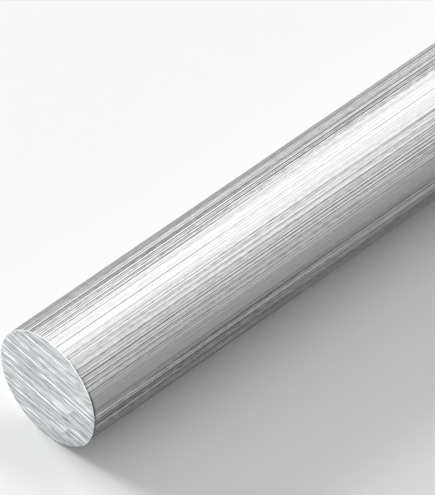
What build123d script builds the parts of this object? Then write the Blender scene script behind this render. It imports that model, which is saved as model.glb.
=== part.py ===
"""Mill-finish aluminium round bar, sawn to length.

One solid piece. It lies along X on its lowest line, with the middle of that line at the origin, so Z = 0 is
the surface that it lies on. Both ends are sawn square, and their sharp edges are broken with a file.
"""

from build123d import *
import os

# Driving dimensions, in millimetres.
BAR_DIAMETER = 30.0
BAR_LENGTH = 300.0
EDGE_BREAK = 0.2

# The bar's axis is one radius above the surface that it lies on.
AXIS_HEIGHT = BAR_DIAMETER / 2


def half_section():
    """Half of the bar's lengthwise section, between its axis and its skin, drawn about the origin."""
    half_length = BAR_LENGTH / 2
    radius = BAR_DIAMETER / 2
    with BuildSketch(Plane.XZ) as section:
        with BuildLine():
            Polyline(
                (-half_length, 0),
                (-half_length, radius - EDGE_BREAK),
                (-half_length + EDGE_BREAK, radius),
                (half_length - EDGE_BREAK, radius),
                (half_length, radius - EDGE_BREAK),
                (half_length, 0),
                close=True,
            )
        make_face()
    return section.sketch


def round_bar():
    """The half section turned once round the bar's axis, then lifted so that the bar lies on Z = 0."""
    bar = revolve(half_section(), axis=Axis.X)
    return Pos(0, 0, AXIS_HEIGHT) * bar


def main():
    os.makedirs("parts", exist_ok=True)
    export_step(round_bar(), "parts/round_bar.step")


main()
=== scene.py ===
"""A sawn length of mill-finish aluminium round bar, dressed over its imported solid.

The whole bar is one piece. Its skin is turned, with the lines that the drawing die leaves along it cut
in as relief. Both ends are cut square by a power hacksaw, so they carry the blade's marks and the steps
where a stroke stopped. Everything is in metres, in the frame of the solid.
"""

import math
import random
from collections import namedtuple

import bmesh
import bpy
from mathutils import Matrix, Vector, noise


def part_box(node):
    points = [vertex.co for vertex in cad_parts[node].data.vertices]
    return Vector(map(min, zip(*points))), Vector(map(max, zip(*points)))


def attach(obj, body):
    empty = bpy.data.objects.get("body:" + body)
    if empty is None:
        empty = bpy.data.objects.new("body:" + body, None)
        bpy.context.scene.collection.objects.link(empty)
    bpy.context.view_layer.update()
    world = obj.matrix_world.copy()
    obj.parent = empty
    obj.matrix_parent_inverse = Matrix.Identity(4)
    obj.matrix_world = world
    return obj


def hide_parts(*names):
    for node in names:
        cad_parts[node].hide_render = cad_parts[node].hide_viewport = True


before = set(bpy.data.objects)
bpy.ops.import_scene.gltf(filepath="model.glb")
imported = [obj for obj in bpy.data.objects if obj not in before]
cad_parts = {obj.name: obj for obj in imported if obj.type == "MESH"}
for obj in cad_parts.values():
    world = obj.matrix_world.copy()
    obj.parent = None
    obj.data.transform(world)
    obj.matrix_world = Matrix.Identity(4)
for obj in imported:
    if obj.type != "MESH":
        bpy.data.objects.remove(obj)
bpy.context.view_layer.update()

MM = 0.001
MICRON = 0.000001

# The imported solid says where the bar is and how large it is.
bar_low, bar_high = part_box("round_bar")
BAR_RADIUS = (bar_high.z - bar_low.z) / 2
AXIS_HEIGHT = (bar_high.z + bar_low.z) / 2
NEAR_END = bar_low.x
FAR_END = bar_high.x

# Angles round the bar are in degrees from -Y, upwards: 90 is the top, -90 the line that it lies on.
UNDERSIDE = -90.0


# ---------------------------------------------------------------- camera, floor and light

CAMERA_AZIMUTH = -45.0
CAMERA_ELEVATION = 43.4
CAMERA_DISTANCE = 1790 * MM
CAMERA_LENS = 585.0

CAMERA_NEAR_LIMIT = 0.1
CAMERA_FAR_LIMIT = 60.0

# The point looked at: this far to the right of the near end's centre, and this far above it, in the view.
AIM_RIGHT = 38.0 * MM
AIM_UP = 31.4 * MM

FLOOR_SIZE = 24.0
FLOOR_COLOUR = (0.88, 0.88, 0.88, 1.0)
FLOOR_ROUGHNESS = 0.9
FLOOR_GLOSS = 0.2

# A soft key light from behind, low enough to lay the bar's shade along its front. Its spread is in degrees.
KEY_FROM = Vector((-0.03, 0.85, 0.28))
KEY_SPREAD = 30.0
KEY_STRENGTH = 4.45


def make_camera():
    """A long lens, looking down on the bar's near end from its front left."""
    azimuth = math.radians(CAMERA_AZIMUTH)
    elevation = math.radians(CAMERA_ELEVATION)
    right = Vector((math.cos(azimuth), math.sin(azimuth), 0.0))
    level_ahead = Vector((-math.sin(azimuth), math.cos(azimuth), 0.0))
    ahead = level_ahead * math.cos(elevation) - Vector((0.0, 0.0, math.sin(elevation)))
    up = right.cross(ahead)
    near_centre = Vector((NEAR_END, 0.0, AXIS_HEIGHT))
    aim = near_centre + right * AIM_RIGHT + up * AIM_UP
    lens = bpy.data.cameras.new("camera")
    lens.lens = CAMERA_LENS
    lens.clip_start = CAMERA_NEAR_LIMIT
    lens.clip_end = CAMERA_FAR_LIMIT
    camera = bpy.data.objects.new("camera", lens)
    turn = Matrix((right, up, -ahead)).transposed().to_4x4()
    camera.matrix_world = Matrix.Translation(aim - ahead * CAMERA_DISTANCE) @ turn
    bpy.context.scene.collection.objects.link(camera)
    bpy.context.scene.camera = camera


def make_key_light():
    """A broad lamp that lights the floor evenly, however far the floor goes."""
    lamp = bpy.data.lights.new("key_light", "SUN")
    lamp.energy = KEY_STRENGTH
    lamp.angle = math.radians(KEY_SPREAD)
    light = bpy.data.objects.new("key_light", lamp)
    light.matrix_world = KEY_FROM.to_track_quat("Z", "Y").to_matrix().to_4x4()
    bpy.context.scene.collection.objects.link(light)


# ---------------------------------------------------------------- node trees


class Wire:
    """A node's output, which adds up, multiplies and so on as a number does."""

    def __init__(self, tree, socket):
        self.tree = tree
        self.socket = socket

    def sum_up(self, operation, *values):
        return self.tree.node("ShaderNodeMath", {"operation": operation}, dict(enumerate(values)))

    def __add__(self, other):
        return self.sum_up("ADD", self, other)

    def __radd__(self, other):
        return self.sum_up("ADD", other, self)

    def __sub__(self, other):
        return self.sum_up("SUBTRACT", self, other)

    def __rsub__(self, other):
        return self.sum_up("SUBTRACT", other, self)

    def __mul__(self, other):
        return self.sum_up("MULTIPLY", self, other)

    def __rmul__(self, other):
        return self.sum_up("MULTIPLY", other, self)

    def __truediv__(self, other):
        return self.sum_up("DIVIDE", self, other)

    def __neg__(self):
        return self.sum_up("MULTIPLY", self, -1.0)


class Tree:
    """A node tree that is being filled."""

    def __init__(self, tree):
        self.tree = tree
        tree.nodes.clear()

    def node(self, kind, settings=None, sockets=None, output=0):
        """Adds a node: its settings first, then a value or a wire for each named socket."""
        made = self.tree.nodes.new(kind)
        for name, value in (settings or {}).items():
            if name == "stops":
                set_stops(made.color_ramp, value)
            else:
                setattr(made, name, value)
        for name, value in (sockets or {}).items():
            if isinstance(value, Wire):
                self.tree.links.new(value.socket, made.inputs[name])
            else:
                made.inputs[name].default_value = value
        return Wire(self, made.outputs[output] if len(made.outputs) else None)

    def position(self):
        """The point on the piece, in metres."""
        return self.node("ShaderNodeTexCoord", output="Object")

    def grain(self, point, per_metre, detail=0.0):
        """Noise from 0 to 1, with so many features to the metre along X, Y and Z."""
        scaled = self.node("ShaderNodeVectorMath", {"operation": "MULTIPLY"}, {0: point, 1: per_metre})
        sockets = {"Vector": scaled, "Scale": 1.0, "Detail": detail}
        return self.node("ShaderNodeTexNoise", {"noise_dimensions": "3D"}, sockets)

    def spread(self, value, low, high, to_low=0.0, to_high=1.0):
        """The value's range from low to high, spread over another range and held at its ends."""
        settings = {"interpolation_type": "SMOOTHSTEP", "clamp": True}
        sockets = {"Value": value, "From Min": low, "From Max": high, "To Min": to_low, "To Max": to_high}
        return self.node("ShaderNodeMapRange", settings, sockets)

    def blend(self, share, first, second):
        """A mix of two colours."""
        settings = {"data_type": "RGBA", "blend_type": "MIX", "clamp_factor": True}
        return self.node("ShaderNodeMix", settings, {0: share, 6: first, 7: second}, output=2)

    def lines(self, point, pattern):
        """A pattern of lines, from 0 between them to 1 on them."""
        return self.spread(self.grain(point, pattern.per_metre), 0.5 - pattern.step, 0.5 + pattern.step)

    def sine(self, value):
        """The sine of a value in radians, from -1 to 1."""
        return self.node("ShaderNodeMath", {"operation": "SINE"}, {0: value})

    def size(self, value):
        """A value without its sign."""
        return self.node("ShaderNodeMath", {"operation": "ABSOLUTE"}, {0: value})

    def turn(self, rise, run):
        """The angle of a rise over a run, in radians, all the way round."""
        return self.node("ShaderNodeMath", {"operation": "ARCTAN2"}, {0: rise, 1: run})

    def parts(self, point):
        """The three parts of a point or a direction."""
        split = self.node("ShaderNodeSeparateXYZ", None, {"Vector": point})
        outputs = split.socket.node.outputs
        return [Wire(self, outputs[name]) for name in "XYZ"]

    def groove(self):
        """What the mesh notes for the finish: the die lines' depth and the painted shade behind the lip on
        the skin, and on the ends the marks' painted shade and highlight and the strokes' tone.
        """
        return self.node("ShaderNodeAttribute", {"attribute_name": "groove"}, output="Fac")

    def bump(self, height):
        """A normal bent by a height in metres."""
        return self.node("ShaderNodeBump", None, {"Strength": 1.0, "Distance": 1.0, "Height": height})


def set_stops(ramp, stops):
    """Gives a ramp its stops, each a place from 0 to 1 and a grey."""
    ramp.interpolation = "EASE"
    while len(ramp.elements) < len(stops):
        ramp.elements.new(0.5)
    for element, (place, grey) in zip(ramp.elements, stops):
        element.position = place
        element.color = (grey, grey, grey, 1.0)


def finish_of(name):
    """A new material and its empty tree."""
    material = bpy.data.materials.new(name)
    material.use_nodes = True
    return material, Tree(material.node_tree)


def bare_metal(tree, colour, roughness, normal):
    """Joins a bare metal surface to the material's output."""
    sockets = {"Base Color": colour, "Metallic": 1.0, "Roughness": roughness, "Normal": normal}
    surface = tree.node("ShaderNodeBsdfPrincipled", None, sockets)
    tree.node("ShaderNodeOutputMaterial", None, {"Surface": surface})


# ---------------------------------------------------------------- the studio

# How bright the window is round the bar, from the floor in front (0) over the top to the floor behind (1).
STUDIO_STOPS = (
    (0.00, 0.20),
    (0.04, 0.56),
    (0.09, 1.31),
    (0.20, 1.42),
    (0.30, 1.63),
    (0.44, 1.92),
    (0.51, 2.41),
    (0.64, 2.40),
    (0.74, 1.80),
    (0.82, 1.30),
    (0.90, 1.08),
    (1.00, 1.08),
)

# The bright window spans the bar: each edge is a soft step between two sines of the angle to the right.
WINDOW_LEFT_EDGE = (0.32, 0.45)
WINDOW_RIGHT_EDGE = (0.57, 0.70)
STUDIO_ENDS_SHARE = 0.20

# The panel stands to the left and is low; the card stands in front.
LEFT_PANEL = 2.0
LEFT_PANEL_EDGE = (0.60, 0.86)
LEFT_PANEL_TOP = (0.14, 0.40)
FRONT_CARD = 1.2
FRONT_CARD_EDGE = (0.92, 0.99)


def make_studio():
    """The soft light all round: a window over the bar, a panel to its left and a card in front of it."""
    world = bpy.data.worlds.new("studio")
    world.use_nodes = True
    bpy.context.scene.world = world
    tree = Tree(world.node_tree)
    to_right, to_back, upward = tree.parts(tree.node("ShaderNodeTexCoord", output="Generated"))
    place = tree.turn(upward, -to_back) / math.pi
    round_bar = tree.node("ShaderNodeValToRGB", {"stops": STUDIO_STOPS}, {"Fac": place})
    rightness = tree.spread(to_right, *WINDOW_LEFT_EDGE, STUDIO_ENDS_SHARE, 1.0)
    beyond = tree.spread(to_right, *WINDOW_RIGHT_EDGE, 1.0, STUDIO_ENDS_SHARE)
    left = tree.spread(-to_right, *LEFT_PANEL_EDGE, 0.0, LEFT_PANEL)
    low = tree.spread(upward, *LEFT_PANEL_TOP, 1.0, 0.0)
    front = tree.spread(-to_back, *FRONT_CARD_EDGE, 0.0, FRONT_CARD)
    strength = round_bar * rightness * beyond + left * low + front
    light = tree.node("ShaderNodeBackground", None, {"Color": (1.0, 1.0, 1.0, 1.0), "Strength": strength})
    tree.node("ShaderNodeOutputWorld", None, {"Surface": light})


def make_floor():
    """A plain pale floor under the bar."""
    mesh = bpy.data.meshes.new("floor")
    build = bmesh.new()
    bmesh.ops.create_grid(build, x_segments=1, y_segments=1, size=FLOOR_SIZE / 2)
    build.to_mesh(mesh)
    build.free()
    material, tree = finish_of("floor_paint")
    paint = {"Base Color": FLOOR_COLOUR, "Roughness": FLOOR_ROUGHNESS, "Specular IOR Level": FLOOR_GLOSS}
    surface = tree.node("ShaderNodeBsdfPrincipled", None, paint)
    tree.node("ShaderNodeOutputMaterial", None, {"Surface": surface})
    mesh.materials.append(material)
    floor = bpy.data.objects.new("floor", mesh)
    bpy.context.scene.collection.objects.link(floor)


# ---------------------------------------------------------------- finishes

# A pattern of uneven lines: its features to the metre along X, Y and Z, the step of its noise from a line's
# side to its middle (a small one is sharp), how far it moves the metal's tone, and how high it stands.
Pattern = namedtuple("Pattern", "per_metre step tone height")

# The drawn skin's darkest and lightest metal, and how far its own tone is on the way from one to the other.
SKIN_DARK = (0.146, 0.150, 0.152, 1.0)
SKIN_LIGHT = (0.838, 0.84, 0.833, 1.0)
SKIN_TONE = 0.61
SKIN_ROUGHNESS = 0.27

# The skin's lines are long. Bundles are where the even ones stand out. Scratches are dark and scrapes bright.
LINES = Pattern((3, 3300, 3300), 0.09, 0.336, 3.0 * MICRON)
HAIRS = Pattern((12, 5600, 5600), 0.10, 0.3024, 1.5 * MICRON)
BUNDLES = Pattern((4, 600, 600), 0.20, 0.1344, 0.0)
SCRATCHES = Pattern((3, 1700, 1700), 0.06, -0.28, 0.0)
SCRAPES = Pattern((5, -2300, 2300), 0.06, 0.24, 0.0)
FLECKS = (520, 3600, 3600)
FLECK_TONE = 0.46
LINE_ROUGHNESS = 0.06
LIFT_TONE = 0.01
GROOVE_TONE = 0.8

# The die's even lines, counted round the bar; their tone and height; and how they stray: so many radians at
# most, with so many features to the metre.
RIBS_ROUND = 148.0
RIB_TONE = 0.0336
RIB_HEIGHT = 1.4 * MICRON
RIB_DRIFT = 9.0
RIB_DRIFTS = (2, 260, 260)

# The strips of skin that differ from the rest: the angle of the middle and half the width in degrees, how
# much stronger the lines are there (a minus is weaker), and how much painted shade darkens the metal there.
Strip = namedtuple("Strip", "middle half_width stronger duller")
# The strips' lines are the skin's own, but their darkening is painted shade: on the underside in the smooth
# and lower scored strips, and along the back by the top edge in the scored and back strips.
SMOOTH_STRIP = Strip(15.0, 13.0, -0.80, 0.22)
CALM_STRIP = Strip(79.0, 15.0, -0.45, 0.0)
SCORED_STRIP = Strip(122.0, 30.0, 1.1, 0.11)
LOWER_SCORED_STRIP = Strip(-12.0, 20.0, 2.1, 0.23)
BACK_SHADE_STRIP = Strip(146.0, 24.0, 0.0, 0.58)
STRIPS = (SMOOTH_STRIP, CALM_STRIP, SCORED_STRIP, LOWER_SCORED_STRIP, BACK_SHADE_STRIP)

# A strip fades from so far inside its edge to so far outside it, in degrees.
STRIP_FADE_INSIDE = 5.0
STRIP_FADE_OUTSIDE = 2.0


def drawn_skin():
    """The barrel: drawn aluminium, duller than fresh metal, with fine lines all along it."""
    material, tree = finish_of("drawn_skin")
    point = tree.position()
    angle = angle_round(tree, point)
    strength, painted_darkening = strip_effects(tree, angle)
    bundles = tree.lines(point, BUNDLES)
    ribs = tree.sine(angle * RIBS_ROUND + tree.grain(point, RIB_DRIFTS) * RIB_DRIFT)
    lines = tree.lines(point, LINES)
    hairs = tree.lines(point, HAIRS)
    height = ribs * bundles * RIB_HEIGHT + lines * LINES.height + hairs * HAIRS.height
    lay = ribs * (bundles * BUNDLES.tone + RIB_TONE) + (lines - 0.5) * LINES.tone + (hairs - 0.5) * HAIRS.tone
    wear = thin_lines(tree, point, SCRAPES) + thin_lines(tree, point, SCRATCHES)
    flecks = (tree.grain(point, FLECKS) - 0.5) * FLECK_TONE
    tone = lay + wear + LIFT_TONE + flecks
    # The painted darkening is painted shade on the underside and along the back of the bar.
    share = SKIN_TONE + tone * strength - painted_darkening - tree.groove() * GROOVE_TONE
    colour = tree.blend(share, SKIN_DARK, SKIN_LIGHT)
    roughness = SKIN_ROUGHNESS + lines * LINE_ROUGHNESS
    bare_metal(tree, colour, roughness, tree.bump(height * strength))
    return material


def angle_round(tree, point):
    """A point's angle round the bar, in radians."""
    _, to_back, upward = tree.parts(point)
    return tree.turn(upward - AXIS_HEIGHT, -to_back)


def strip_effects(tree, angle):
    """How strong the lines are at an angle round the bar, and how much painted shade darkens the metal there.
    """
    strength, painted_darkening = 1.0, 0.0
    for strip in STRIPS:
        away = tree.size(angle - math.radians(strip.middle))
        full = math.radians(strip.half_width - STRIP_FADE_INSIDE)
        none = math.radians(strip.half_width + STRIP_FADE_OUTSIDE)
        share = tree.spread(away, full, none, 1.0, 0.0)
        strength = strength + share * strip.stronger
        painted_darkening = painted_darkening + share * strip.duller
    return strength, painted_darkening


def thin_lines(tree, point, pattern):
    """How far thin lines, at uneven distances along the skin, move its tone."""
    away = tree.size(tree.grain(point, pattern.per_metre) - 0.5)
    return tree.spread(away, 0.0, pattern.step, 1.0, 0.0) * pattern.tone


# The sawn end's darkest and lightest metal, and how far its own tone is on the way from one to the other.
END_DARK = (0.295, 0.322, 0.342, 1.0)
END_LIGHT = (0.972, 0.996, 1.00, 1.0)
END_TONE = 0.49
END_ROUGHNESS = 0.36

# The saw's marks run across an end, and fall by so many degrees towards -Y. Its even ones are so far apart,
# and stray by so many radians at most, with so many features to the metre.
SAW_TILT = 8.0
SAW_PITCH = 0.64 * MM
SAW_RIB_TONE = 0.22
SAW_RIB_HEIGHT = 3.0 * MICRON
SAW_DRIFT = 5.0
SAW_DRIFTS = (1, 30, 400)

# The end's lines are long too, but its threads are short. Outside the bundles the even marks keep a share.
END_MARKS = Pattern((1, 30, 3300), 0.07, 0.46, 7.0 * MICRON)
END_THREADS = Pattern((1, 330, 5200), 0.08, 0.46, 4.0 * MICRON)
END_BUNDLES = Pattern((1, 60, 900), 0.15, 0.0, 0.0)
LEAST_BUNDLE = 0.3
END_PATCHES = (1, 60, 700)
PATCH_TONE = 0.12
PATCH_ROUGHNESS = 0.12
END_MARK_ROUGHNESS = 0.06


def sawn_end():
    """An end as the saw leaves it: fresh metal, lighter and cooler than the skin, with fine marks."""
    material, tree = finish_of("sawn_end")
    tilt = {"Vector": tree.position(), "Rotation": (math.radians(-SAW_TILT), 0.0, 0.0)}
    point = tree.node("ShaderNodeMapping", {"vector_type": "POINT"}, tilt)
    _, _, level = tree.parts(point)
    bundles = LEAST_BUNDLE + tree.lines(point, END_BUNDLES) * (1.0 - LEAST_BUNDLE)
    ribs = tree.sine(level * (math.tau / SAW_PITCH) + tree.grain(point, SAW_DRIFTS) * SAW_DRIFT) * bundles
    marks = tree.lines(point, END_MARKS)
    threads = tree.lines(point, END_THREADS)
    patches = tree.grain(point, END_PATCHES, detail=1.0)
    height = ribs * SAW_RIB_HEIGHT + marks * END_MARKS.height + threads * END_THREADS.height
    lay = ribs * SAW_RIB_TONE + (marks - 0.5) * END_MARKS.tone + (threads - 0.5) * END_THREADS.tone
    # On the ends the noted groove is the marks' painted shade and highlight, with the strokes' tone.
    share = END_TONE + lay + (patches - 0.5) * PATCH_TONE - tree.groove()
    colour = tree.blend(share, END_DARK, END_LIGHT)
    roughness = END_ROUGHNESS + patches * PATCH_ROUGHNESS + marks * END_MARK_ROUGHNESS
    bare_metal(tree, colour, roughness, tree.bump(height))
    return material


# The filed edge's darkest and lightest metal, and the file's strokes: their features to the metre, their
# height and how much rougher they are.
EDGE_DARK = (0.80, 0.81, 0.81, 1.0)
EDGE_LIGHT = (1.00, 1.00, 1.00, 1.0)
EDGE_ROUGHNESS = 0.20
STROKES = (900, 900, 900)
STROKE_HEIGHT = 6.0 * MICRON
STROKE_ROUGHNESS = 0.10


def filed_edge():
    """The broken edge: rubbed by the file."""
    material, tree = finish_of("filed_edge")
    strokes = tree.grain(tree.position(), STROKES, detail=3.0)
    colour = tree.blend(strokes, EDGE_DARK, EDGE_LIGHT)
    roughness = EDGE_ROUGHNESS + strokes * STROKE_ROUGHNESS
    bare_metal(tree, colour, roughness, tree.bump(strokes * STROKE_HEIGHT))
    return material


# ---------------------------------------------------------------- the skin

# A thin lip of metal, pushed over the near end's edge where the blade broke through. It is highest at its
# crest, ends soon below it, and runs out slowly above it: all three in degrees.
LIP_CREST = -38.0
LIP_BELOW = 27.0
LIP_ABOVE = 110.0
LIP_HEIGHT = 0.30 * MM

# The lip's ragged edge: its least height and how far it waves, as shares, and its waves to the degree.
LIP_LEAST = 0.8
LIP_WAVE = 0.4
LIP_WAVES = 0.35
LIP_SEED = 3.0

# The painted shade behind the lip, a dark line on the skin: how far it reaches along the skin, and how dark
# it is.
LIP_SHADE_REACH = 0.80 * MM
LIP_SHADE = 2.0

# How finely the skin is divided.
POINTS_ROUND = 2600
SPANS_ALONG = 12

# The edge break at both ends.
EDGE_BREAK = 0.2 * MM

# The skin lies this far under the nominal radius, so that the ridges beside the die lines stay inside it.
SKIN_ALLOWANCE = 18 * MICRON
SKIN_RADIUS = BAR_RADIUS - SKIN_ALLOWANCE

# The depth at which a line is at its darkest, the height of the ridge beside it, as a share of its depth, and
# the length over which it fades at its ends.
DEEPEST_LINE = 20 * MICRON
RIDGE_SHARE = 0.4
LINE_FADE = 30 * MM

# A line that the die leaves along the skin: its angle round the bar, its half width and depth, and its ends.
DieLine = namedtuple("DieLine", "angle half_width depth start end")

# The deep lines: angle in degrees, width in millimetres, depth in microns.
DEEP_LINES = (
    (129.0, 0.50, 16),
    (124.3, 0.40, 14),
    (119.8, 0.34, 14),
    (114.2, 0.25, 12),
    (110.6, 0.22, 9),
    (102.7, 0.24, 18),
    (100.0, 0.21, 16),
    (95.0, 0.20, 12),
    (81.9, 0.20, 8),
    (78.0, 0.20, 7),
    (62.8, 0.20, 10),
    (55.7, 0.20, 12),
    (48.7, 0.20, 12),
    (43.4, 0.31, 34),
    (40.3, 0.26, 23),
    (45.8, 0.24, 18),
    (38.0, 0.24, 14),
    (36.2, 0.22, 16),
    (32.0, 0.21, 12),
    (7.0, 0.20, 10),
    (2.3, 0.30, 18),
    (0.2, 0.34, 22),
    (-1.9, 0.26, 16),
    (-6.2, 0.34, 30),
    (-11.4, 0.30, 24),
    (-15.6, 0.26, 14),
    (-18.6, 0.30, 16),
    (-23.5, 0.40, 24),
    (-29.0, 0.44, 26),
    (-46.0, 0.24, 16),
    (-71.0, 0.26, 18),
    (-102.0, 0.21, 14),
    (-128.0, 0.26, 22),
    (-131.5, 0.21, 14),
    (-160.0, 0.24, 16),
    (126.0, 0.24, 14),
    (133.0, 0.26, 18),
    (137.5, 0.30, 22),
    (141.0, 0.28, 20),
    (145.5, 0.26, 16),
    (151.0, 0.26, 22),
    (154.0, 0.21, 14),
    (171.0, 0.23, 16),
)

# How the fine lines crowd round the bar: from one angle to another, their pitch in degrees and usual depth in
# microns.
SkinZone = namedtuple("SkinZone", "low high pitch depth")
SKIN_ZONES = (
    SkinZone(-90.0, -22.0, 1.3, 3.0),
    SkinZone(-22.0, 2.0, 1.0, 3.0),
    SkinZone(2.0, 28.0, 2.4, 0.5),
    SkinZone(28.0, 60.0, 0.9, 3.0),
    SkinZone(60.0, 92.0, 1.1, 2.1),
    SkinZone(92.0, 125.0, 0.8, 4.8),
    SkinZone(125.0, 200.0, 1.2, 3.0),
    SkinZone(200.0, 270.0, 1.5, 3.0),
)

# What the fine lines have by chance: half a width in millimetres, a depth of so many times the usual one at
# most, a middle up to so far past the ends, a reach to each side of it in metres, and a share of the pitch.
FINE_SEED = 11
FINE_HALF_WIDTHS = (0.09, 0.16)
FINE_DEPTH_LIMIT = 4
FINE_OVERRUN = 50 * MM
FINE_REACHES = (0.04, 0.30)
FINE_PITCHES = (0.5, 1.5)

# The deep lines run on past both ends of the bar.
DEEP_OVERRUN = 1.0


def die_lines():
    """Every line along the skin: the deep ones, which run its whole length, and the fine ones."""
    return deep_lines() + fine_lines()


def deep_lines():
    """The deep lines, from end to end."""
    start, end = NEAR_END - DEEP_OVERRUN, FAR_END + DEEP_OVERRUN
    return [DieLine(angle, width * MM / 2, depth * MICRON, start, end) for angle, width, depth in DEEP_LINES]


def fine_lines():
    """The fine lines, zone by zone round the bar."""
    chance = random.Random(FINE_SEED)
    lines = []
    for zone in SKIN_ZONES:
        angle = zone.low
        while angle < zone.high:
            half_width = chance.uniform(*FINE_HALF_WIDTHS) * MM
            depth = min(chance.expovariate(1 / zone.depth), FINE_DEPTH_LIMIT * zone.depth) * MICRON
            middle = chance.uniform(NEAR_END - FINE_OVERRUN, FAR_END + FINE_OVERRUN)
            reach = chance.uniform(*FINE_REACHES)
            lines.append(DieLine(angle, half_width, depth, middle - reach, middle + reach))
            angle += zone.pitch * chance.uniform(*FINE_PITCHES)
    return lines


def line_section(offset):
    """A die line's section, one unit deep and one to each side, with a small ridge beside it."""
    offset = abs(offset)
    if offset < 1.0:
        return (1.0 + math.cos(math.pi * offset)) / 2
    if offset < 2.0:
        return -RIDGE_SHARE * (1.0 - math.cos(math.tau * offset)) / 2
    return 0.0


def line_presence(line, x):
    """How much of a line's depth is there at x: it fades in and out at its ends."""
    inside = min(x - line.start, line.end - x) / LINE_FADE
    return max(0.0, min(1.0, inside))


def skin_relief():
    """The skin's depth under its radius, for each point round each ring along the bar."""
    stations = skin_stations()
    relief = [[0.0] * POINTS_ROUND for _ in stations]
    arc_step = math.tau * SKIN_RADIUS / POINTS_ROUND
    for line in die_lines():
        place = (line.angle - UNDERSIDE) / 360 * POINTS_ROUND
        reach = 2 * line.half_width / arc_step
        presence = [line_presence(line, x) for x in stations]
        for point in range(math.ceil(place - reach), math.floor(place + reach) + 1):
            section = line.depth * line_section((point - place) * arc_step / line.half_width)
            for ring, share in zip(relief, presence):
                ring[point % POINTS_ROUND] += section * share
    return relief


def skin_stations():
    """Where the skin's rings are along X, between the two edge breaks."""
    first = NEAR_END + EDGE_BREAK
    span = (FAR_END - EDGE_BREAK - first) / SPANS_ALONG
    return [first, first + LIP_SHADE_REACH] + [first + span * step for step in range(1, SPANS_ALONG + 1)]


def bar_profile():
    """The bar's lengthwise profile, from rim to rim, as (x, radius)."""
    skin = [(x, SKIN_RADIUS) for x in skin_stations()]
    rim_radius = SKIN_RADIUS - EDGE_BREAK
    return [(NEAR_END, rim_radius), *skin, (FAR_END, rim_radius)]


def turn_skin(build, groove):
    """Draws the skin out ring by ring from a circle, and cuts the die lines in between the edge breaks."""
    profile = bar_profile()
    x, radius = profile[0]
    stand_up = Matrix.Translation((x, 0.0, AXIS_HEIGHT)) @ Matrix.Rotation(math.pi / 2, 4, "Y")
    bmesh.ops.create_circle(build, segments=POINTS_ROUND, radius=radius, matrix=stand_up)
    rings = [list(build.verts)]
    front = list(build.edges)
    axis_to_origin = Matrix.Translation((0.0, 0.0, -AXIS_HEIGHT))
    for next_x, next_radius in profile[1:]:
        drawn = bmesh.ops.extrude_edge_only(build, edges=front)["geom"]
        points = [part for part in drawn if isinstance(part, bmesh.types.BMVert)]
        front = [part for part in drawn if isinstance(part, bmesh.types.BMEdge)]
        growth = next_radius / radius
        bmesh.ops.translate(build, vec=(next_x - x, 0.0, 0.0), verts=points)
        bmesh.ops.scale(build, vec=(1.0, growth, growth), space=axis_to_origin, verts=points)
        rings.append(points)
        x, radius = next_x, next_radius
    cut_die_lines(rings[1:-1], groove)


def cut_die_lines(rings, groove):
    """Sinks the die lines into the skin's rings, and notes their depth and the painted shade behind the lip
    for the finish.
    """
    for ring, depths in zip(rings, skin_relief()):
        for vert in ring:
            point = round((angle_of(vert.co) - UNDERSIDE) / 360 * POINTS_ROUND) % POINTS_ROUND
            vert.co -= radial_of(vert.co).normalized() * depths[point]
            vert[groove] = depths[point] / DEEPEST_LINE
    # The first ring behind the near edge break takes the painted shade behind the lip, darkest at its crest.
    for vert in rings[0]:
        vert[groove] += LIP_SHADE * lip_nearness(angle_of(vert.co))


def angle_of(point):
    """A point's angle round the bar."""
    return math.degrees(math.atan2(point.z - AXIS_HEIGHT, -point.y))


def radial_of(point):
    """The way from the bar's axis to a point, square to the axis."""
    return Vector((0.0, point.y, point.z - AXIS_HEIGHT))


# ---------------------------------------------------------------- the sawn ends

# An end's division: rows across the marks and columns along them.
SAW_ROWS = 500
SAW_COLUMNS = 27
CUT_TOLERANCE = 0.008 * MM

# A mark on a sawn end. Its middle is so far across the end, towards -Y, and so far above the axis; it is so
# long, falls towards -Y by so many degrees, and is so wide (millimetres) and deep (microns).
SawMark = namedtuple("SawMark", "across above length fall width depth")

# The depth at which a mark's painted shade and highlight are in full, and the length in millimetres over
# which its ends fade.
DEEPEST_MARK = 105
MARK_FADE = 1.5

# Below a mark's middle line the metal rises to the burr's top and falls again to its foot, both in half
# widths of the mark. The burr's rise is a share of the mark's depth.
BURR_TOP = 1.9
BURR_FOOT = 2.7
BURR_RISE = 0.5

# In half widths above a mark's middle line: its painted shade is between the first two, its painted highlight
# between the last two.
SHADE_TOP = 1.2
SHADE_TURN = -0.4
SHADE_FOOT = -2.4

NEAR_MARKS = (
    SawMark(0.0, 11.2, 15.0, 8.0, 0.32, 95),
    SawMark(-7.0, 6.0, 13.5, 9.5, 0.36, 123),
    SawMark(5.5, 2.3, 17.0, 8.0, 0.41, 135),
    SawMark(9.0, 0.2, 8.5, 8.0, 0.36, 105),
    SawMark(11.0, 3.0, 6.0, 8.0, 0.28, 87),
    SawMark(-12.0, 1.8, 7.0, 6.0, 0.32, 102),
    SawMark(-3.5, -3.2, 15.0, 11.0, 0.36, 123),
    SawMark(4.0, -2.9, 6.0, 9.5, 0.28, 87),
    SawMark(-13.0, -1.8, 4.0, 3.0, 0.28, 87),
    SawMark(-7.0, -7.2, 7.0, 5.0, 0.28, 80),
    SawMark(10.0, -7.4, 5.0, 5.0, 0.28, 95),
    SawMark(3.0, -9.7, 5.0, 11.0, 0.28, 95),
    SawMark(-3.0, -10.9, 9.5, 8.5, 0.32, 116),
)
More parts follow.
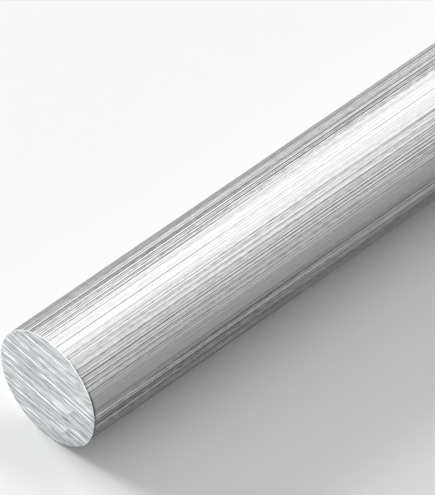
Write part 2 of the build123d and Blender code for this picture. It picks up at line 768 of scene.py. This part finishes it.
FAR_MARKS = (
    SawMark(-2.0, 9.6, 13.0, 6.0, 0.32, 109),
    SawMark(6.0, 7.0, 10.0, 9.0, 0.32, 102),
    SawMark(-5.0, 3.4, 16.0, 8.0, 0.41, 132),
    SawMark(4.0, -0.8, 14.0, 10.0, 0.36, 116),
    SawMark(-8.0, -3.8, 9.0, 7.0, 0.32, 95),
    SawMark(2.5, -6.4, 12.0, 9.0, 0.36, 123),
    SawMark(7.5, -9.0, 6.0, 8.0, 0.28, 87),
    SawMark(-3.0, -11.8, 8.0, 7.0, 0.32, 102),
)

# Where a stroke of the saw stopped: a band of the face between two heights is cut deeper, up to a slanted
# step. All are in millimetres but the depth, which is in microns.
StrokeStop = namedtuple("StrokeStop", "low high step_low step_high depth run")

# A step rises over so many millimetres. The faces beside it are cut along it if their middles are so near.
STEP_RISE = 0.2
STEP_BEHIND = 1.5
STEP_BEYOND = 1.0

# A band sets in steeply at its edges. Behind the step it is rubbed bright, and beyond it is dull for so far.
BAND_STEEPNESS = 6
BEHIND_STEP = -0.30
BEYOND_STEP = 0.26
BEYOND_RUN = 4.0
NEAR_STOPS = (
    StrokeStop(-3.6, -0.7, 6.7, 8.8, 22, 9.0),
    StrokeStop(-10.3, -8.0, 5.3, 6.7, 22, 8.0),
)
FAR_STOPS = (StrokeStop(1.0, 3.6, -4.0, -2.0, 20, 8.0),)

# The blade's shallow waves, in microns inwards: their mean depth and their heights. Their features to the
# millimetre are along the marks and then across them.
MEAN_DEPTH = 88
COARSE_WAVE = 12
COARSE_WAVES = (0.05, 0.9)
FINE_WAVE = 3
FINE_WAVES = (0.09, 2.2)
NEAR_SEED = 2.0
FAR_SEED = 40.0
FINE_WAVE_SEED = 5.0


def saw_turn():
    """The turn about X that lays level lines along the saw's marks."""
    return Matrix.Rotation(math.radians(SAW_TILT), 3, "X")


def divide_end(build, face):
    """Cuts an end's face into rows across the saw's marks and columns along them."""
    across = saw_turn() @ Vector((0.0, 0.0, 1.0))
    along = saw_turn() @ Vector((0.0, 1.0, 0.0))
    rows = slice_faces(build, [face], across, SAW_ROWS)
    return slice_faces(build, rows, along, SAW_COLUMNS)


def slice_faces(build, faces, direction, count):
    """Cuts an end's faces into so many slices. What lies beyond a cut goes on to the next."""
    middle = Vector((faces[0].verts[0].co.x, 0.0, AXIS_HEIGHT))
    done = []
    for step in range(1, count):
        place = middle + direction * BAR_RADIUS * (2 * step / count - 1)
        pieces = cut_faces(build, faces, place, direction)
        beyond = [(face.calc_center_median() - place).dot(direction) > 0 for face in pieces]
        done += [face for face, kept in zip(pieces, beyond) if not kept]
        faces = [face for face, kept in zip(pieces, beyond) if kept]
    return done + faces


def cut_faces(build, faces, place, direction):
    """Cuts an end's faces in two where a plane crosses them."""
    parts = list(dict.fromkeys(part for face in faces for part in (face, *face.edges, *face.verts)))
    cut = bmesh.ops.bisect_plane(build, geom=parts, dist=CUT_TOLERANCE, plane_co=place, plane_no=direction)
    return [part for part in cut["geom"] if isinstance(part, bmesh.types.BMFace)]


def cut_steps(build, faces, stops):
    """Cuts an end's faces along the foot and the head of each stroke's slanted step."""
    for stop in stops:
        rise, lean = stop.high - stop.low, stop.step_high - stop.step_low
        direction = Vector((0.0, -rise, -lean)).normalized()
        foot = Vector((faces[0].verts[0].co.x, -stop.step_low * MM, AXIS_HEIGHT + stop.low * MM))
        for place in (foot, foot - direction * STEP_RISE * MM):
            beside = [face for face in faces if is_beside(face, stop)]
            faces = [face for face in faces if not is_beside(face, stop)]
            faces += cut_faces(build, beside, place, direction)
    return faces


def is_beside(face, stop):
    """Whether an end's face lies at a stroke's step."""
    centre = face.calc_center_median()
    across, above = -centre.y / MM, (centre.z - AXIS_HEIGHT) / MM
    within = stop.step_low - STEP_BEHIND < across < stop.step_high + STEP_BEYOND
    return within and stop.low < above < stop.high


def mark_section(offset):
    """A saw mark's section, one unit deep: steep above, and rising below to the burr that it throws up."""
    if 0.0 <= offset < 1.0:
        return (1.0 + math.cos(math.pi * offset)) / 2
    if -BURR_TOP <= offset < 0.0:
        return 1.0 - (1.0 + BURR_RISE) * (1.0 - math.cos(math.pi * offset / BURR_TOP)) / 2
    if -BURR_FOOT < offset < -BURR_TOP:
        return -BURR_RISE * (1.0 + math.cos(math.pi * (offset + BURR_TOP) / (BURR_FOOT - BURR_TOP))) / 2
    return 0.0


def painted_mark_light(offset):
    """How a saw mark shades the end's finish: painted shade in the groove, and a painted highlight up its
    burr.
    """
    if SHADE_TURN < offset < SHADE_TOP:
        return (1.0 - math.cos(math.tau * (offset - SHADE_TURN) / (SHADE_TOP - SHADE_TURN))) / 2
    if SHADE_FOOT < offset < SHADE_TURN:
        return -(1.0 - math.cos(math.tau * (offset - SHADE_TURN) / (SHADE_TURN - SHADE_FOOT))) / 2
    return 0.0


def beside_mark(mark, across, above):
    """How far a point is above a mark's middle line, in half widths, and the mark's presence there."""
    fall = math.radians(mark.fall)
    along = (across - mark.across) * math.cos(fall) - (above - mark.above) * math.sin(fall)
    beside = (across - mark.across) * math.sin(fall) + (above - mark.above) * math.cos(fall)
    return beside / (mark.width / 2), max(0.0, min(1.0, (mark.length / 2 - abs(along)) / MARK_FADE))


def behind_step(stop, across, above):
    """How far a point of the end is behind a stroke's step, and how far inside the stroke's band."""
    share = (above - stop.low) / (stop.high - stop.low)
    step = stop.step_low + (stop.step_high - stop.step_low) * share
    return step - across, max(0.0, min(1.0, BAND_STEEPNESS * share, BAND_STEEPNESS * (1 - share)))


def stop_depth(stop, across, above):
    """How much deeper a stroke's band is at a point of the end: most at its step, less away from it."""
    behind, inside = behind_step(stop, across, above)
    if not 0.0 < behind < stop.run:
        return 0.0
    return stop.depth * inside * min(1.0, behind / STEP_RISE) * (1 - behind / stop.run)


def stop_shade(stop, across, above):
    """How a stroke shades the end's finish: rubbed bright behind its step, dull beyond it."""
    behind, inside = behind_step(stop, across, above)
    if behind <= 0.0:
        return inside * max(0.0, 1 + behind / BEYOND_RUN) * BEYOND_STEP
    shade = BEYOND_STEP if behind < STEP_RISE / 2 else BEHIND_STEP
    return inside * max(0.0, 1 - behind / stop.run) * shade


def end_waves(seed, across, above):
    """The saw's shallow waves at a point of an end, in microns inwards."""
    level = above + across * math.tan(math.radians(SAW_TILT))
    coarse = noise.noise(Vector((across * COARSE_WAVES[0], level * COARSE_WAVES[1], seed)))
    fine = noise.noise(Vector((across * FINE_WAVES[0], level * FINE_WAVES[1], seed + FINE_WAVE_SEED)))
    return MEAN_DEPTH + COARSE_WAVE * coarse + FINE_WAVE * fine


def saw_end(faces, groove, inward, marks, stops, seed):
    """Sinks the saw's relief into an end, and notes the marks' painted shade and highlight and the strokes'
    tone for the finish.
    """
    for vert in dict.fromkeys(vert for face in faces for vert in face.verts):
        across = -vert.co.y / MM
        above = (vert.co.z - AXIS_HEIGHT) / MM
        depth = end_waves(seed, across, above)
        shade = 0.0
        for mark in marks:
            offset, presence = beside_mark(mark, across, above)
            depth += mark.depth * mark_section(offset) * presence
            # Each mark adds painted shade in its groove and a painted highlight up its burr.
            shade += mark.depth / DEEPEST_MARK * painted_mark_light(offset) * presence
        for stop in stops:
            depth += stop_depth(stop, across, above)
            shade += stop_shade(stop, across, above)
        vert.co.x += inward * max(0.0, depth) * MICRON
        vert[groove] = shade


# ---------------------------------------------------------------- the bar

# Faces that meet at more than so many degrees meet in a sharp edge.
SHARP_ANGLE = 32.0


def lip_nearness(angle):
    """How near an angle round the bar is to the lip's crest: 1 at the crest, 0 where the lip has run out."""
    arc = LIP_ABOVE if angle > LIP_CREST else LIP_BELOW
    return max(0.0, 1.0 - abs(angle - LIP_CREST) / arc)


def raise_lip(build):
    """Flares the near end's edge break outwards into the lip."""
    for vert in build.verts:
        inward = vert.co.x - NEAR_END
        if inward > 0.99 * EDGE_BREAK:
            continue
        radial = radial_of(vert.co)
        if radial.length < SKIN_RADIUS - 1.01 * EDGE_BREAK:
            continue
        angle = angle_of(vert.co)
        share = lip_nearness(angle) ** 2
        ragged = LIP_LEAST + LIP_WAVE * noise.noise(Vector((angle * LIP_WAVES, 0.0, LIP_SEED)))
        flared = SKIN_RADIUS + LIP_HEIGHT * ragged * (1 - inward / EDGE_BREAK)
        vert.co += radial.normalized() * (flared - radial.length) * share


def close_end(build, x):
    """Closes an end with one face."""
    rim = [edge for edge in build.edges if edge.is_boundary and abs(edge.verts[0].co.x - x) < EDGE_BREAK]
    filled = bmesh.ops.edgenet_fill(build, edges=rim)
    return filled["faces"][0]


SKIN_SLOT, EDGE_SLOT, END_SLOT = 0, 1, 2


def sort_finishes(build, ends):
    """Gives each face its finish: the ends are sawn, the edge breaks filed, the rest drawn."""
    for face in build.faces:
        inward = min(face.calc_center_median().x - NEAR_END, FAR_END - face.calc_center_median().x)
        face.material_index = EDGE_SLOT if inward < EDGE_BREAK else SKIN_SLOT
        face.smooth = True
    for face in ends:
        face.material_index = END_SLOT


# ---------------------------------------------------------------- the bar's flat map

# The map is a square with the skin along its foot, the two ends above it, and the edge breaks to their right.
MAP_MARGIN = 0.006
SKIN_MAP_HEIGHT = 0.74
END_MAP_SIZE = 0.235
EDGE_MAP_LEFT = 2 * END_MAP_SIZE + 5 * MAP_MARGIN
EDGE_MAP_BASE = 1 - 4 * MAP_MARGIN
EDGE_MAP_HEIGHT = 0.008
EDGE_MAP_STEP = EDGE_MAP_HEIGHT + 3 * MAP_MARGIN


def map_skin(point, turn):
    """The skin unrolled: along the bar to the right, round it upwards."""
    along = (point.x - NEAR_END) / (FAR_END - NEAR_END)
    return MAP_MARGIN + along * (1 - 2 * MAP_MARGIN), MAP_MARGIN + turn * SKIN_MAP_HEIGHT


def map_end(point, near):
    """An end, seen from outside, above the skin: the near one on the left."""
    side = END_MAP_SIZE / 2
    centre = MAP_MARGIN + side + (0.0 if near else END_MAP_SIZE + 2 * MAP_MARGIN)
    outward = -1 if near else 1
    across = outward * point.y / BAR_RADIUS
    above = (point.z - AXIS_HEIGHT) / BAR_RADIUS
    return centre + side * across, 1 - MAP_MARGIN - side + side * above


def map_edge(point, turn, near):
    """An edge break as a strip to the right of the ends: the near one above."""
    inward = min(point.x - NEAR_END, FAR_END - point.x) / EDGE_BREAK
    base = EDGE_MAP_BASE - (0.0 if near else EDGE_MAP_STEP)
    return EDGE_MAP_LEFT + turn * (1 - MAP_MARGIN - EDGE_MAP_LEFT), base + inward * EDGE_MAP_HEIGHT


def turn_beside(point, centre):
    """A point's turn from the underside, as a share of one round, on its face's side of the map's seam."""
    middle = (angle_of(centre) - UNDERSIDE) % 360
    turn = (angle_of(point) - UNDERSIDE) % 360
    if turn - middle > 180:
        turn -= 360
    if middle - turn > 180:
        turn += 360
    return turn / 360


def lay_map(build):
    """Lays the whole bar out flat, for the baked export."""
    layer = build.loops.layers.uv.new("OFBake")
    for face in build.faces:
        centre = face.calc_center_median()
        near = centre.x < 0
        for loop in face.loops:
            point = loop.vert.co
            turn = turn_beside(point, centre)
            if face.material_index == END_SLOT:
                loop[layer].uv = map_end(point, near)
            elif face.material_index == EDGE_SLOT:
                loop[layer].uv = map_edge(point, turn, near)
            else:
                loop[layer].uv = map_skin(point, turn)


def make_bar():
    """The bar: a turned skin closed by two sawn ends."""
    build = bmesh.new()
    groove = build.verts.layers.float.new("groove")
    turn_skin(build, groove)
    near_face = close_end(build, NEAR_END)
    far_face = close_end(build, FAR_END)
    bmesh.ops.recalc_face_normals(build, faces=build.faces)
    near_faces = cut_steps(build, divide_end(build, near_face), NEAR_STOPS)
    far_faces = cut_steps(build, divide_end(build, far_face), FAR_STOPS)
    raise_lip(build)
    saw_end(near_faces, groove, 1, NEAR_MARKS, NEAR_STOPS, NEAR_SEED)
    saw_end(far_faces, groove, -1, FAR_MARKS, FAR_STOPS, FAR_SEED)
    sort_finishes(build, near_faces + far_faces)
    lay_map(build)
    mesh = bpy.data.meshes.new("round_bar_finished")
    build.to_mesh(mesh)
    build.free()
    for material in (drawn_skin(), filed_edge(), sawn_end()):
        mesh.materials.append(material)
    mesh.set_sharp_from_angle(angle=math.radians(SHARP_ANGLE))
    bar = bpy.data.objects.new("round_bar_finished", mesh)
    bpy.context.scene.collection.objects.link(bar)
    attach(bar, "root")
    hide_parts("round_bar")


bpy.context.scene.view_settings.view_transform = "Standard"
make_camera()
make_key_light()
make_studio()
make_floor()
make_bar()
